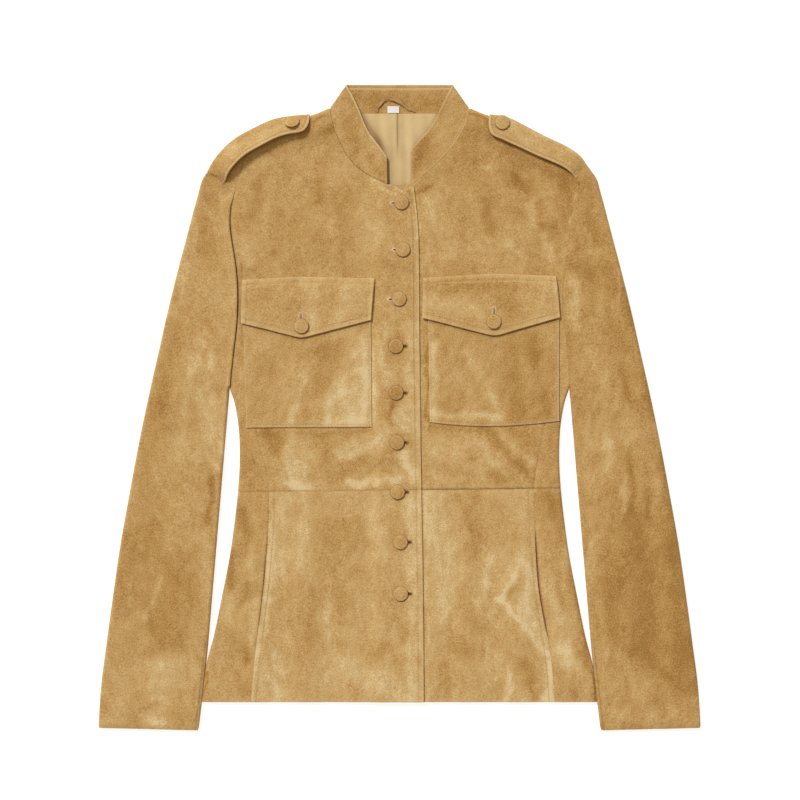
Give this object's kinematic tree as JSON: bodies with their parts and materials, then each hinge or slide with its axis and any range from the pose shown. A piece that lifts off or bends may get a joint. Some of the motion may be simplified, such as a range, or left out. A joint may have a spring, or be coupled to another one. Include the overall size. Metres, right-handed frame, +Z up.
{
  "type": "suede jacket",
  "caption": "Women's suede jacket with stand collar, flapped chest pockets, shoulder straps, covered buttons and a waist seam, lying flat on its back with its front buttoned.",
  "frame": {"origin": "centre of the jacket's box in X and Y, on the surface that its flat back rests on", "axes": "+Z up, out of the jacket's front; +Y towards the collar; +X towards the wearer's left sleeve"},
  "size_m": [0.6516, 0.6985, 0.0179],
  "materials": {
    "suede": "brushed nap, matte",
    "lining": "satin",
    "ribbon": "woven ribbon",
    "label": "plain woven"
  },
  "bodies": {
    "root": {"front_right_upper": "suede", "front_right_side_upper": "suede", "front_right_lower": "suede", "front_right_side_lower": "suede", "sleeve_right_top": "suede", "sleeve_right_under": "suede", "pocket_right": "suede", "flap_right": "suede", "strap_right": "suede", "button_pocket_right": "suede", "button_strap_right": "suede", "front_left_upper": "suede", "front_left_side_upper": "suede", "front_left_lower": "suede", "front_left_side_lower": "suede", "sleeve_left_top": "suede", "sleeve_left_under": "suede", "pocket_left": "suede", "flap_left": "suede", "strap_left": "suede", "button_pocket_left": "suede", "button_strap_left": "suede", "button_front_1": "suede", "button_front_2": "suede", "button_front_3": "suede", "button_front_4": "suede", "button_front_5": "suede", "button_front_6": "suede", "button_front_7": "suede", "button_front_8": "suede", "button_front_9": "suede", "back_upper": "suede", "back_lower": "suede", "collar": "suede", "lining_back": "lining", "hanger_loop": "ribbon", "label": "label"}
  },
  "joints": []
}
